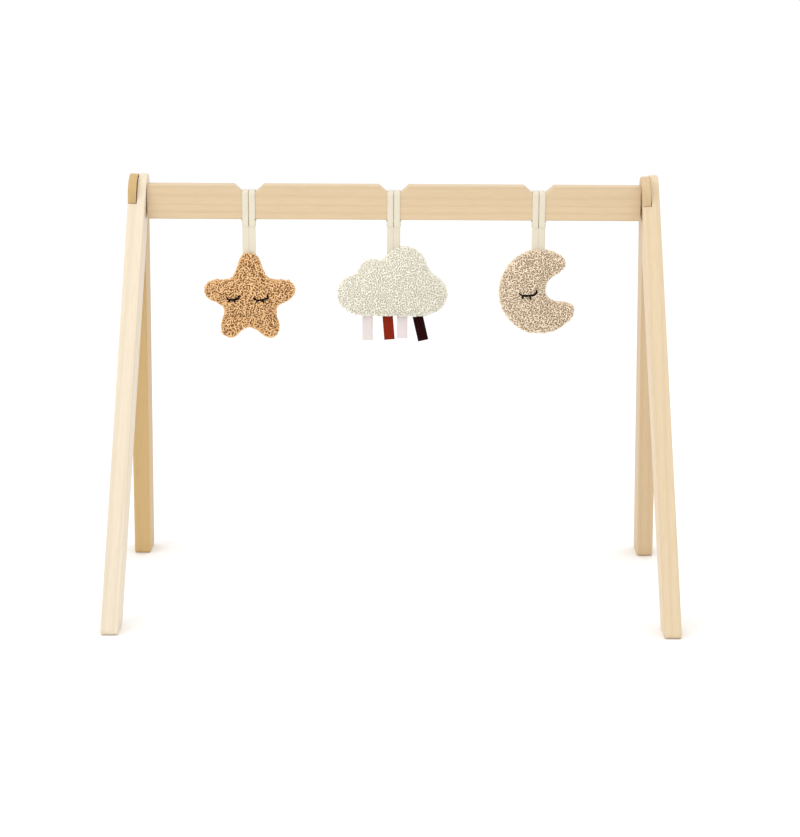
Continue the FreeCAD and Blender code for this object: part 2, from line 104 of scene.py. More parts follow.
class Shader:
    """A node material built line by line."""

    def __init__(self, name, roughness, sheen=0.0, metallic=0.0):
        self.material = bpy.data.materials.new(name)
        self.material.use_nodes = True
        self.tree = self.material.node_tree
        self.surface = self.tree.nodes["Principled BSDF"]
        self.surface.inputs["Roughness"].default_value = roughness
        self.surface.inputs["Sheen Weight"].default_value = sheen
        self.surface.inputs["Metallic"].default_value = metallic
        self.place = self.add("ShaderNodeTexCoord").outputs["Object"]

    def add(self, kind, **settings):
        node = self.tree.nodes.new(kind)
        for key, value in settings.items():
            setattr(node, key, value)
        return node

    def link(self, source, target):
        self.tree.links.new(source, target)

    def stretched(self, scale, turn=None):
        """The place vector, turned so that its X runs along turn, and scaled."""
        node = self.add("ShaderNodeMapping", vector_type="POINT")
        if turn is not None:
            along = Vector(turn).normalized()
            rotation = along.rotation_difference(Vector((1, 0, 0))).to_matrix()
            node.inputs["Rotation"].default_value = rotation.to_euler("XYZ")
        node.inputs["Scale"].default_value = scale
        self.link(self.place, node.inputs["Vector"])
        return node.outputs["Vector"]

    def noise(self, vector, scale, detail=3.0, rough=0.5, distortion=0.0):
        node = self.add("ShaderNodeTexNoise")
        node.inputs["Scale"].default_value = scale
        node.inputs["Detail"].default_value = detail
        node.inputs["Roughness"].default_value = rough
        node.inputs["Distortion"].default_value = distortion
        self.link(vector, node.inputs["Vector"])
        return node.outputs["Fac"]

    def wave(self, vector, scale, kind="BANDS", axis="X", distortion=0.0, detail=2.0):
        node = self.add("ShaderNodeTexWave", wave_type=kind)
        if kind == "BANDS":
            node.bands_direction = axis
        else:
            node.rings_direction = axis
        node.inputs["Scale"].default_value = scale
        node.inputs["Distortion"].default_value = distortion
        node.inputs["Detail"].default_value = detail
        self.link(vector, node.inputs["Vector"])
        return node.outputs["Fac"]

    def ramp(self, value, stops):
        node = self.add("ShaderNodeValToRGB")
        elements = node.color_ramp.elements
        while len(elements) < len(stops):
            elements.new(0.5)
        for element, (position, colour) in zip(elements, stops):
            element.position = position
            element.color = colour
        self.link(value, node.inputs["Fac"])
        return node.outputs["Color"]

    def mix(self, factor, first, second):
        node = self.add("ShaderNodeMix", data_type="RGBA")
        if isinstance(factor, float):
            node.inputs[0].default_value = factor
        else:
            self.link(factor, node.inputs[0])
        for value, socket in ((first, node.inputs[6]), (second, node.inputs[7])):
            if isinstance(value, tuple):
                socket.default_value = value
            else:
                self.link(value, socket)
        return node.outputs[2]

    def math(self, operation, first, second):
        node = self.add("ShaderNodeMath", operation=operation)
        for value, socket in ((first, node.inputs[0]), (second, node.inputs[1])):
            if isinstance(value, (int, float)):
                socket.default_value = value
            else:
                self.link(value, socket)
        return node.outputs[0]

    def colour(self, value):
        self.link(value, self.surface.inputs["Base Color"])

    def bump(self, height, strength, distance):
        node = self.add("ShaderNodeBump")
        node.inputs["Strength"].default_value = strength
        node.inputs["Distance"].default_value = distance
        self.link(height, node.inputs["Height"])
        self.link(node.outputs["Normal"], self.surface.inputs["Normal"])


# ---------------------------------------------------------------- materials

def toned(colour, share):
    """A colour made lighter or darker by a share of itself."""
    return tuple(share * part for part in colour[:3]) + (1.0,)


# The scales of the grain's textures across the board, and the share of them that holds along it.
RING_SCALE = 34
BROAD_SCALE = 22
FIBRE_SCALE = 900
GRAIN_STRETCH = 0.05


def wood_material(name, board, along, shift):
    """Planed pine under a clear matt lacquer, with its grain along the piece.

    shift moves the pattern, so that each board shows its own part of it.
    """
    shader = Shader(name, roughness=0.5)
    shader.surface.inputs["Coat Weight"].default_value = 0.08
    shader.surface.inputs["Coat Roughness"].default_value = 0.35
    turned = shader.stretched((1, 1, 1), along)
    moved = shader.add("ShaderNodeMapping", vector_type="POINT")
    moved.inputs["Location"].default_value = (shift, shift * 0.7, -shift * 0.4)
    moved.inputs["Scale"].default_value = (GRAIN_STRETCH, 1, 1)
    shader.link(turned, moved.inputs["Vector"])
    grain = moved.outputs["Vector"]
    rings = shader.wave(grain, RING_SCALE, "RINGS", "X", distortion=4.5, detail=2.0)
    broad = shader.noise(grain, BROAD_SCALE, 2, 0.5)
    fibre = shader.noise(grain, FIBRE_SCALE, 4, 0.65)
    late = shader.ramp(rings, [(0.50, (0, 0, 0, 1)), (0.95, (1, 1, 1, 1))])
    ground = shader.mix(broad, toned(board, 1.05), toned(board, 0.92))
    ringed = shader.mix(shader.math("MULTIPLY", late, 0.20), ground, toned(board, 0.74))
    flecks = shader.ramp(fibre, [(0.30, (0.90, 0.87, 0.82, 1)), (0.62, (1, 1, 1, 1))])
    product = shader.add("ShaderNodeMix", data_type="RGBA", blend_type="MULTIPLY")
    product.inputs[0].default_value = 0.7
    shader.link(ringed, product.inputs[6])
    shader.link(flecks, product.inputs[7])
    shader.colour(product.outputs[2])
    roughness = shader.math("ADD", shader.math("MULTIPLY", fibre, 0.22), 0.36)
    shader.link(roughness, shader.surface.inputs["Roughness"])
    shader.bump(shader.math("ADD", fibre, shader.math("MULTIPLY", rings, 0.35)), 0.2, 0.0004)
    return shader.material


def metal_material(name, colour, roughness):
    """Plated steel or brass with fine turning marks."""
    shader = Shader(name, roughness=roughness, metallic=1.0)
    marks = shader.noise(shader.stretched((0.2, 1, 1)), 2600, 3, 0.6)
    shader.colour(shader.mix(marks, colour, toned(colour, 0.82)))
    shader.bump(marks, 0.15, 0.0001)
    return shader.material


def tape_material():
    """Undyed cotton twill: fine diagonal ribs and a soft, uneven colour."""
    shader = Shader("tape_twill", roughness=0.9, sheen=0.25)
    ribs = shader.wave(shader.stretched((1, 0.3, 1)), 620, "BANDS", "DIAGONAL", distortion=0.6)
    threads = shader.noise(shader.stretched((1, 1, 0.35)), 2400, 2, 0.6)
    weave = shader.math("ADD", shader.math("MULTIPLY", ribs, 0.6), shader.math("MULTIPLY", threads, 0.4))
    tint = shader.mix(weave, TAPE_DARK, TAPE_LIGHT)
    soft = shader.noise(shader.place, 60, 2)
    shader.colour(shader.mix(shader.math("MULTIPLY", soft, 0.3), tint, TAPE_DARK))
    shader.bump(weave, 0.6, 0.0003)
    return shader.material


def pile_material(name, tip, shaded_root):
    """The curls of a plush pile: each patch a slightly different tone, and each curl darker towards its
    root with painted shade.
    """
    shader = Shader(name, roughness=0.95, sheen=0.08)
    shader.surface.inputs["Specular IOR Level"].default_value = 0.2
    patch = shader.noise(shader.place, 90, 3, 0.6)
    strand = shader.noise(shader.place, 900, 3, 0.7)
    lift = shader.add("ShaderNodeAttribute", attribute_name="lift").outputs["Fac"]
    shade = shader.math("ADD", shader.math("MULTIPLY", patch, 0.5), shader.math("MULTIPLY", strand, 0.35))
    # lift blends each curl from its root colour, darkened with painted shade, at the backing up to its
    # tip colour.
    shade = shader.math("ADD", shade, shader.math("MULTIPLY", lift, 0.45))
    shader.colour(shader.ramp(shade, [(0.40, shaded_root), (0.78, tip)]))
    shader.bump(strand, 0.5, 0.0003)
    return shader.material


def backing_material(name, shaded_root):
    """The knitted backing that shows between the curls, darkened with painted shade from the curls."""
    shader = Shader(name, roughness=1.0)
    stitch = shader.noise(shader.place, 700, 3, 0.7)
    # The backing's colour is the root colour darkened further: painted shade under the curls, with the
    # stitch noise as its own uneven tone.
    shader.colour(shader.mix(stitch, toned(shaded_root, 0.6), toned(shaded_root, 0.9)))
    shader.bump(stitch, 0.8, 0.0005)
    return shader.material


def thread_material():
    """Dark embroidery thread with a slight lustre along its twist."""
    shader = Shader("eye_thread", roughness=0.8)
    shader.surface.inputs["Specular IOR Level"].default_value = 0.06
    twist = shader.wave(shader.place, 900, "BANDS", "DIAGONAL", distortion=1.0)
    shader.colour(shader.mix(twist, THREAD, toned(THREAD, 1.6)))
    shader.bump(twist, 0.5, 0.0002)
    return shader.material


def ribbon_material(name, light, dark):
    """Woven satin: fine ribs across the ribbon and soft long streaks down it."""
    shader = Shader(name, roughness=0.6)
    shader.surface.inputs["Specular IOR Level"].default_value = 0.05
    ribs = shader.wave(shader.place, 1500, "BANDS", "Z", distortion=0.4)
    streak = shader.noise(shader.stretched((1, 1, 0.12)), 420, 3, 0.6)
    shader.colour(shader.mix(shader.math("MULTIPLY", streak, 0.9), light, dark))
    shader.bump(shader.math("ADD", ribs, streak), 0.3, 0.00015)
    return shader.material


# ---------------------------------------------------------------- mesh helpers

def new_object(name, vertices, faces, material, smooth=True):
    """A mesh object in the scene, from its points and faces."""
    mesh = bpy.data.meshes.new(name)
    mesh.from_pydata([tuple(point) for point in vertices], [], [tuple(face) for face in faces])
    mesh.materials.append(material)
    if smooth:
        mesh.shade_smooth()
    mesh.update()
    item = bpy.data.objects.new(name, mesh)
    bpy.context.scene.collection.objects.link(item)
    return item


def positions(mesh):
    """A mesh's points as an array of rows."""
    values = np.empty(len(mesh.vertices) * 3)
    mesh.vertices.foreach_get("co", values)
    return values.reshape(-1, 3)


def set_positions(mesh, points):
    """Move a mesh's points to the rows of an array."""
    mesh.vertices.foreach_set("co", np.asarray(points, dtype=float).ravel())
    mesh.update()


def swept(path, sides, section):
    """Rings of a closed section along a path.

    sides gives, for each path point, the two unit directions that the section's own coordinates
    run along. Returns vertices and faces, with both ends closed.
    """
    vertices = []
    faces = []
    count = len(section)
    for point, (first, second) in zip(path, sides):
        for across, out in section:
            vertices.append(point + first * across + second * out)
    for ring in range(len(path) - 1):
        for index in range(count):
            following = (index + 1) % count
            faces.append((ring * count + index, ring * count + following,
                          (ring + 1) * count + following, (ring + 1) * count + index))
    last = (len(path) - 1) * count
    faces.append(tuple(range(count - 1, -1, -1)))
    faces.append(tuple(last + index for index in range(count)))
    return vertices, faces


def band_section(width, thick):
    """A flat band's section with soft edges."""
    half = width / 2
    deep = thick / 2
    soft = deep * 0.9
    steps = 4
    lower = [(-half + soft + (width - 2 * soft) * step / steps, -deep) for step in range(steps + 1)]
    upper = [(across, deep) for across, _ in reversed(lower)]
    return lower + [(half, 0.0)] + upper + [(-half, 0.0)]


def smooth_path(points, spacing):
    """A Catmull-Rom curve through given points, divided evenly enough for bending."""
    result = []
    padded = [points[0] * 2 - points[1]] + points + [points[-1] * 2 - points[-2]]
    for a, b, c, d in zip(padded, padded[1:], padded[2:], padded[3:]):
        steps = max(1, round((c - b).length / spacing))
        for step in range(steps):
            t = step / steps
            result.append(0.5 * ((2 * b) + (c - a) * t + (2 * a - 5 * b + 4 * c - d) * t ** 2
                                 + (3 * b - a - 3 * c + d) * t ** 3))
    result.append(points[-1])
    return result


def directions(path):
    """The unit tangent at each point of a path."""
    last = len(path) - 1
    return [(path[min(index + 1, last)] - path[max(index - 1, 0)]).normalized()
            for index in range(last + 1)]


def merge(parts):
    """Join several (vertices, faces) pairs."""
    vertices = []
    faces = []
    for some_vertices, some_faces in parts:
        start = len(vertices)
        vertices.extend(some_vertices)
        faces.extend(tuple(index + start for index in face) for face in some_faces)
    return vertices, faces


# ---------------------------------------------------------------- timber and hardware

BOARD_SHIFT = 0.31
BOARD_STEP = 0.23
FOOT_SLICE = 4 * MM
HEAD_SLICE = 30 * MM


def leg_direction(name):
    """The grain direction of a leg, from its foot to its head."""
    low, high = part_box(name)
    points = positions(frame["nodes"][name].data)
    foot = points[points[:, 2] < low[2] + FOOT_SLICE].mean(axis=0)
    head = points[points[:, 2] > high[2] - HEAD_SLICE].mean(axis=0)
    return tuple(head - foot)


def dress(node, material):
    """Give a part from the frame its one material."""
    mesh = frame["nodes"][node].data
    mesh.materials.clear()
    mesh.materials.append(material)


def timber():
    """Materials for the boards, the dowels and the metal parts."""
    for index, (name, board) in enumerate(BOARDS.items()):
        along = leg_direction(name) if "_leg_" in name else (1, 0, 0)
        dress(name, wood_material(f"pine_{name}", board, along, BOARD_SHIFT + BOARD_STEP * index))
    dowel = wood_material("beech_dowel", DOWEL, (1, 0, 0), 0.9)
    steel = metal_material("plated_steel", STEEL, 0.32)
    brass = metal_material("insert_metal", INSERT_METAL, 0.4)
    for side in ("left", "right"):
        dress(f"bolt_{side}", steel)
        dress(f"washer_{side}", steel)
        dress(f"threaded_insert_{side}", brass)
        dress(f"dowel_{side}", dowel)


# ---------------------------------------------------------------- tapes

TAPE_WIDTH = 8 * MM
TAPE_THICK = 1.0 * MM
TAPE_CLEAR = 0.15 * MM
TAPE_CORNER = 2 * MM
# Each strand's middle is this far from the hitch's, and nearer to it below the crease.
STRAND_OFFSET = 4.3 * MM
STRAND_CLOSE = 0.2 * MM
# Below the crease one strand lies in front of the other, and both lie a little wider.
STRAND_LAP = 0.18 * MM
SPREAD = 1.1
CREASE_RISE = 3 * MM
BIGHT_DROP = 4.6 * MM
BIGHT_TURN = 1.2 * MM
# How far each tape runs down inside its toy: the cloud's outline falls away under the tape's edge.
SEWN_DEPTH = {"star": 5 * MM, "cloud": 14 * MM, "moon": 6 * MM}


def strap(toy, material):
    """A doubled tape: up from the toy, over the bar in its notch, down behind and under it.

    Its bight crosses behind the strands just below the bar.
    """
    hinge = Vector(JOINTS[f"{toy}_swing"]["pos_m"])
    twist = Vector(JOINTS[f"{toy}_twist"]["pos_m"])
    bar_low, bar_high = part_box("crossbar")
    front = bar_low[1] - TAPE_CLEAR - TAPE_THICK / 2
    back = bar_high[1] + TAPE_CLEAR + TAPE_THICK / 2
    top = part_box(f"{toy}_strap_wrap")[1][2] - TAPE_THICK / 2
    under = bar_low[2] - TAPE_CLEAR - TAPE_THICK / 2
    crease = hinge.z + CREASE_RISE
    strands = []
    for sign in (-1, 1):
        middle = hinge.x + sign * STRAND_OFFSET
        closed = hinge.x + sign * (STRAND_OFFSET - STRAND_CLOSE)
        lapped = front + sign * STRAND_LAP
        points = [
            # side by side from the toy up to the crease under the bar
            Vector((closed, lapped, twist.z - SEWN_DEPTH[toy])),
            Vector((closed, lapped, twist.z + 4 * MM)),
            Vector((closed, lapped, hinge.z - 4 * MM)),
            Vector((closed, lapped + 0.3 * MM, crease - 1.2 * MM)),
            # over the bight and up the bar's front
            Vector((middle, front - 0.9 * MM, crease + 1.0 * MM)),
            Vector((middle, front - 0.6 * MM, crease + 5.0 * MM)),
            Vector((middle, front - 0.1 * MM, under + 6 * MM)),
            Vector((middle, front, top - 8 * MM)),
            Vector((middle, front + 0.1 * MM, top - TAPE_CORNER)),
            # across the notch's floor, down the back and under the bar
            Vector((middle, front + TAPE_CORNER, top)),
            Vector((middle, 0, top)),
            Vector((middle, back - TAPE_CORNER, top)),
            Vector((middle, back, top - TAPE_CORNER)),
            Vector((middle, back, under + 8 * MM)),
            Vector((middle, back, under + TAPE_CORNER)),
            Vector((middle, back - TAPE_CORNER, under)),
            Vector((middle, 0, under - 0.3 * MM)),
            # into the bight
            Vector((middle, front + 6 * MM, under - 1.2 * MM)),
            Vector((middle, front + 3.0 * MM, under - 4.2 * MM)),
        ]
        path = smooth_path(points, 1.5 * MM)
        across = Vector((1, 0, 0))
        sides = []
        for point, tangent in zip(path, directions(path)):
            sideways = (across - tangent * across.dot(tangent)).normalized()
            hangs_free = point.z < crease and point.y < 0
            sides.append((sideways * (SPREAD if hangs_free else 1.0), sideways.cross(tangent)))
        strands.append(swept(path, sides, band_section(TAPE_WIDTH, TAPE_THICK)))
    tape = new_object(f"{toy}_tape", *merge(strands), material)
    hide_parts(f"{toy}_strap_wrap", f"{toy}_strap_drop")
    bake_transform(tape)
    hitch_bight(toy, hinge.x, front, under - BIGHT_DROP, material)


def hitch_bight(toy, middle, front, level, material):
    """The tape's turned loop, taut across the back of the hanging strands."""
    half = 2 * STRAND_OFFSET - STRAND_CLOSE
    points = [
        Vector((middle - half + BIGHT_TURN, front + 4.6 * MM, level + 2.4 * MM)),
        Vector((middle - half, front + 3.2 * MM, level + 1.0 * MM)),
        Vector((middle - half + BIGHT_TURN, front + 1.7 * MM, level + 0.2 * MM)),
        Vector((middle, front + 1.4 * MM, level)),
        Vector((middle + half - BIGHT_TURN, front + 1.7 * MM, level + 0.2 * MM)),
        Vector((middle + half, front + 3.2 * MM, level + 1.0 * MM)),
        Vector((middle + half - BIGHT_TURN, front + 4.6 * MM, level + 2.4 * MM)),
    ]
    path = smooth_path(points, 1.0 * MM)
    upward = Vector((0, 0, 1))
    sides = []
    for tangent in directions(path):
        tall = (upward - tangent * upward.dot(tangent)).normalized()
        sides.append((tall, tall.cross(tangent)))
    section = band_section(TAPE_WIDTH, TAPE_THICK)
    bight = new_object(f"{toy}_bight", *swept(path, sides, section), material)
    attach(bight, "stand")


# ---------------------------------------------------------------- stuffed bodies

VOXEL = 4 * MM
# The share of the filling's thickness that a cover starts from before it is blown up.
START_DEPTH = 0.45
PUFF_FRAMES = 20
PUFF_QUALITY = 5
PUFF_PRESSURE = 4.0
PUFF_LIMIT = 14 * MM
PLUMP = 2.4 * MM
SEAM_DEPTH = 1.1 * MM
SEAM_REACH = 1.6 * MM

TOYS = {
    # pile height, least distance between curls, radius of a curl, radius of its strand
    "star": {"pile": 2.3 * MM, "spacing": 2.0 * MM, "curl": 1.35 * MM, "strand": 0.80 * MM},
    "cloud": {"pile": 1.9 * MM, "spacing": 1.9 * MM, "curl": 1.15 * MM, "strand": 0.72 * MM},
    "moon": {"pile": 2.1 * MM, "spacing": 2.0 * MM, "curl": 1.25 * MM, "strand": 0.74 * MM},
}


def toy_box(toy):
    """Lowest and highest corners of a toy's two covers together."""
    front_low, front_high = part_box(f"{toy}_front_panel")
    back_low, back_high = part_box(f"{toy}_back_panel")
    return np.minimum(front_low, back_low), np.maximum(front_high, back_high)


def apply_modifiers(item):
    """Replace an object's mesh with what its modifiers make of it, and drop them."""
    graph = bpy.context.evaluated_depsgraph_get()
    made = bpy.data.meshes.new_from_object(item.evaluated_get(graph))
    item.modifiers.clear()
    item.data = made


def relax(mesh, rounds, strength):
    """Even the surface out towards each point's neighbours."""
    edges = np.array([edge.vertices[:] for edge in mesh.edges])
    points = positions(mesh)
    count = np.bincount(edges.ravel(), minlength=len(points))[:, None]
    for _ in range(rounds):
        total = np.zeros_like(points)
        np.add.at(total, edges[:, 0], points[edges[:, 1]])
        np.add.at(total, edges[:, 1], points[edges[:, 0]])
        points += (total / count - points) * strength
    set_positions(mesh, points)


def puff(item):
    """Blow the cover up from inside as cloth, and hold each point within a limit of its start."""
    start = positions(item.data)
    cloth = item.modifiers.new("stuffing", "CLOTH")
    cloth.settings.use_pressure = True
    cloth.settings.uniform_pressure_force = PUFF_PRESSURE
    cloth.settings.effector_weights.gravity = 0
    cloth.settings.quality = PUFF_QUALITY
    cloth.point_cache.frame_start = 1
    cloth.point_cache.frame_end = PUFF_FRAMES
    scene = bpy.context.scene
    for number in range(1, PUFF_FRAMES + 1):
        scene.frame_set(number)
    apply_modifiers(item)
    scene.frame_set(1)
    moved = positions(item.data) - start
    length = np.linalg.norm(moved, axis=1, keepdims=True)
    moved *= np.minimum(1.0, PUFF_LIMIT / np.maximum(length, 1e-9))
    set_positions(item.data, start + moved)


def fit_cover(mesh, low, high, pile):
    """Bring a cover to its size without its pile, and draw it in along the rim seam."""
    middle = (low + high) / 2
    # Smoothing thins the arms and horns, so the cover is drawn out evenly before it is fitted.
    normals = np.array([vertex.normal for vertex in mesh.vertices])
    points = positions(mesh) + normals * PLUMP
    found_low = points.min(axis=0)
    found_high = points.max(axis=0)
    wanted = (high - low) / 2 - pile
    points = (points - (found_low + found_high) / 2) * (wanted / ((found_high - found_low) / 2)) + middle

    sideways = 1 - np.abs(normals[:, 1])
    near = np.exp(-((points[:, 1] - middle[1]) / SEAM_REACH) ** 2)
    points -= normals * (SEAM_DEPTH * near * sideways)[:, None]
    set_positions(mesh, points)


def stuffed_body(toy, material):
    """A toy's sewn and stuffed cover without its pile."""
    low, high = toy_box(toy)
    middle = (low + high) / 2
    source = frame["nodes"][f"{toy}_filling"].data
    points = positions(source)
    points[:, 1] = middle[1] + (points[:, 1] - middle[1]) * START_DEPTH
    mesh = source.copy()
    set_positions(mesh, points)
    item = bpy.data.objects.new(f"{toy}_body", mesh)
    bpy.context.scene.collection.objects.link(item)

    voxels = item.modifiers.new("even", "REMESH")
    voxels.mode = "VOXEL"
    voxels.voxel_size = VOXEL
    apply_modifiers(item)
    relax(item.data, 2, 0.5)
    puff(item)
    relax(item.data, 3, 0.5)
    smooth = item.modifiers.new("smooth", "SUBSURF")
    smooth.levels = 1
    smooth.render_levels = 1
    apply_modifiers(item)

    fit_cover(item.data, low, high, TOYS[toy]["pile"])
    item.data.materials.clear()
    item.data.materials.append(material)
    item.data.shade_smooth()
    return item


# ---------------------------------------------------------------- pile

# The arc of an open loop in degrees, and the rings and sides of its strand.
CURL_TURN = (-62, 242)
CURL_RINGS = 6
CURL_SIDES = 3
# In loop radii: how high the loop's centre stands, how far apart its ends lie sideways, how deep
# they sink into the backing, and its whole height.
CURL_RISE = 0.35
CURL_PITCH = 0.35
CURL_SUNK = 0.55
CURL_HEIGHT = 1.9
# The furthest lean either way in radians, and the range of sizes.
CURL_LEAN = 0.95
CURL_SIZES = (0.70, 1.35)
TRIES_PER_CELL = 5


def curl_template(strand):
    """One open loop of yarn of radius 1 that stands on its two ends, its points and its faces.

    strand is the yarn's radius as a share of the loop's.
    """
    vertices = []
    for ring in range(CURL_RINGS):
        share = ring / (CURL_RINGS - 1)
        angle = math.radians(CURL_TURN[0] + (CURL_TURN[1] - CURL_TURN[0]) * share)
        outward = np.array([math.cos(angle), 0, math.sin(angle)])
        centre = outward + np.array([0, CURL_PITCH * (share - 0.5), CURL_RISE])
        for side in range(CURL_SIDES):
            turn = 2 * math.pi * side / CURL_SIDES
            vertices.append(centre + strand * (outward * math.cos(turn)
                                               + np.array([0, math.sin(turn), 0])))
    faces = []
    for ring in range(CURL_RINGS - 1):
        for side in range(CURL_SIDES):
            following = (side + 1) % CURL_SIDES
            faces.append((ring * CURL_SIDES + side, ring * CURL_SIDES + following,
                          (ring + 1) * CURL_SIDES + following, (ring + 1) * CURL_SIDES + side))
    return np.array(vertices), np.array(faces)


def scattered(mesh, spacing, random):
    """Points spread evenly over a surface, none nearer to another than spacing."""
    mesh.calc_loop_triangles()
    corners = np.array([triangle.vertices[:] for triangle in mesh.loop_triangles])
    points = positions(mesh)
    normals = np.array([vertex.normal for vertex in mesh.vertices])
    first, second, third = (points[corners[:, index]] for index in range(3))
    areas = np.linalg.norm(np.cross(second - first, third - first), axis=1) / 2
    tries = int(areas.sum() / spacing ** 2 * TRIES_PER_CELL)
    chosen = random.choice(len(areas), size=tries, p=areas / areas.sum())
    a = random.random(tries)
    b = random.random(tries)
    over = a + b > 1
    a[over] = 1 - a[over]
    b[over] = 1 - b[over]
    weights = np.stack([1 - a - b, a, b], axis=1)[:, :, None]
    places = (points[corners[chosen]] * weights).sum(axis=1)
    facing = (normals[corners[chosen]] * weights).sum(axis=1)
    facing /= np.linalg.norm(facing, axis=1, keepdims=True)

    kept = []
    cells = {}
    for index, key in enumerate(map(tuple, np.floor(places / spacing).astype(int))):
        near = (
            other
            for x in (-1, 0, 1) for y in (-1, 0, 1) for z in (-1, 0, 1)
            for other in cells.get((key[0] + x, key[1] + y, key[2] + z), ())
        )
        if all(np.sum((places[index] - places[other]) ** 2) > spacing ** 2 for other in near):
            cells.setdefault(key, []).append(index)
            kept.append(index)
    return places[kept], facing[kept]


def curly_pile(toy, body, material, bare, seed):
    """Loops of yarn standing all over a body, except where bare(place) says so."""
    random = np.random.default_rng(seed)
    settings = TOYS[toy]
    places, facing = scattered(body.data, settings["spacing"], random)
    keep = np.array([not bare(place) for place in places])
    places = places[keep]
    facing = facing[keep]
    count = len(places)
    template, faces = curl_template(settings["strand"] / settings["curl"])

    # Each loop turns freely about the surface's normal and leans over by a random amount.
    helper = np.where(np.abs(facing[:, :1]) < 0.9, [[1.0, 0, 0]], [[0, 1.0, 0]])
    first = np.cross(facing, helper)
    first /= np.linalg.norm(first, axis=1, keepdims=True)
    second = np.cross(facing, first)
    turn = random.uniform(0, 2 * math.pi, count)[:, None]
    along = first * np.cos(turn) + second * np.sin(turn)
    aside = np.cross(facing, along)
    lean = random.uniform(-CURL_LEAN, CURL_LEAN, count)[:, None]
    upright = facing * np.cos(lean) + aside * np.sin(lean)
    aside = np.cross(upright, along)
    size = (settings["curl"] * random.uniform(*CURL_SIZES, count))[:, None]

    axes = np.stack([along, aside, upright], axis=1) * size[:, :, None]
    vertices = places[:, None, :] + np.einsum("vk,nkj->nvj", template, axes)
    starts = np.arange(count)[:, None, None] * len(template)
    all_faces = (faces[None, :, :] + starts).reshape(-1, 4)
    item = new_object(f"{toy}_pile", vertices.reshape(-1, 3).tolist(), all_faces.tolist(), material)

    # How far each point stands above the backing, for the shade at the roots.
    lift = (template[:, 2] + CURL_SUNK) / CURL_HEIGHT
    attribute = item.data.attributes.new("lift", "FLOAT", "POINT")
    attribute.data.foreach_set("value", np.tile(np.clip(lift, 0, 1), count))
    return item


# ---------------------------------------------------------------- embroidered eyes

THREAD_RADIUS = 1.25 * MM
THREAD_SIDES = 7
THREAD_END = 0.55
# The thread's height as a share of the pile's, and the bare zone's reach in thread radii.
EYE_LIFT = 0.9
BARE_REACH = 1.5
LID_STEPS = 12
LASH_STEPS = 4
RAY_START = 200 * MM
EYE_NODES = {"star": "star_eyes", "moon": "moon_eye"}
EYES = {
    # across from the tape, level below the hinge, half width
    "star": ((-19.0 * MM, 88.2 * MM, 6.2 * MM), (16.4 * MM, 88.2 * MM, 7.2 * MM)),
    "moon": ((-11.8 * MM, 80.6 * MM, 8.4 * MM),),
}
LID_SAG = 0.10
LID_RISE = 0.12
# For each lash: its start along the lid, its angle in degrees, its length. Start and length are
# shares of the lid's half width.
LASHES = ((-0.98, 140, 0.56), (-0.76, -112, 0.52), (0.22, -84, 0.56), (1.0, 84, 0.64))


def eye_lines(toy):
    """Each stitched line of a toy's closed eyes, as points across and up from its hinge."""
    lines = []
    for across, drop, half in EYES.get(toy, ()):
        def lid(share):
            up = LID_RISE * share - LID_SAG * (1 - share ** 2)
            return Vector((across + half * share, half * up - drop, 0))
        lines.append([lid(2 * step / LID_STEPS - 1) for step in range(LID_STEPS + 1)])
        for share, angle, length in LASHES:
            way = Vector((math.cos(math.radians(angle)), math.sin(math.radians(angle)), 0))
            lines.append([lid(share) + way * half * length * step / LASH_STEPS
                          for step in range(LASH_STEPS + 1)])
    return lines


def on_surface(tree, hinge, point, lift):
    """The place in front of a toy's face that a flat drawing point falls on."""
    start = Vector((hinge.x + point.x, hinge.y - RAY_START, hinge.z + point.y))
    place, normal, _, _ = tree.ray_cast(start, Vector((0, 1, 0)))
    return place + normal * lift


def round_tube(path, radius, sides):
    """A thread along a path: thinner at its ends, and a little uneven in between."""
    section = [(math.cos(2 * math.pi * index / sides), math.sin(2 * math.pi * index / sides))
               for index in range(sides)]
    forward = Vector((0, 1, 0))
    rings = []
    last = len(path) - 1
    for index, tangent in enumerate(directions(path)):
        side = tangent.cross(forward).normalized()
        taper = THREAD_END if index in (0, last) else 1.0
        swell = radius * taper * (1 + 0.10 * math.sin(index * 2.1))
        rings.append((side * swell, side.cross(tangent).normalized() * swell))
    return swept(path, rings, section)


def eyes(toy, body, material):
    """Closed eyes sewn in dark thread, and the test for where the pile gives way to them."""
    hinge = Vector(JOINTS[f"{toy}_swing"]["pos_m"])
    tree = BVHTree.FromPolygons([vertex.co for vertex in body.data.vertices],
                                [face.vertices for face in body.data.polygons])
    lift = TOYS[toy]["pile"] * EYE_LIFT
    paths = [[on_surface(tree, hinge, point, lift) for point in line] for line in eye_lines(toy)]
    tubes = merge([round_tube(path, THREAD_RADIUS, THREAD_SIDES) for path in paths])
    item = new_object(f"{toy}_closed_eyes", *tubes, material)
    marks = np.array([tuple(point) for path in paths for point in path])

    def bare(place):
        return np.min(np.sum((marks - place) ** 2, axis=1)) < (BARE_REACH * THREAD_RADIUS) ** 2

    return item, bare


# ---------------------------------------------------------------- toys

def toy(name, slot, pile_look, backing_look, thread, seed):
    """One stuffed toy: its cover, its pile and, where it has them, its eyes."""
    body = stuffed_body(name, backing_look)
    if name in EYES:
        stitched, bare = eyes(name, body, thread)
        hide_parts(EYE_NODES[name])
        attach(stitched, name)
    else:
        def bare(place):
            return False
    pile = curly_pile(name, body, pile_look, bare, seed)
    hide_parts(f"{name}_front_panel", f"{name}_back_panel", f"{name}_filling")
    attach(body, name)
    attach(pile, name)


# ---------------------------------------------------------------- ribbon tags

RIBBON_WIDTH = 13.5 * MM
RIBBON_THICK = 0.3 * MM
RIBBON_SEWN = 4 * MM
RIBBON_BELLY = 0.9 * MM
RIBBON_GAP = 0.55 * MM
RIBBON_FOLD = 1.2 * MM


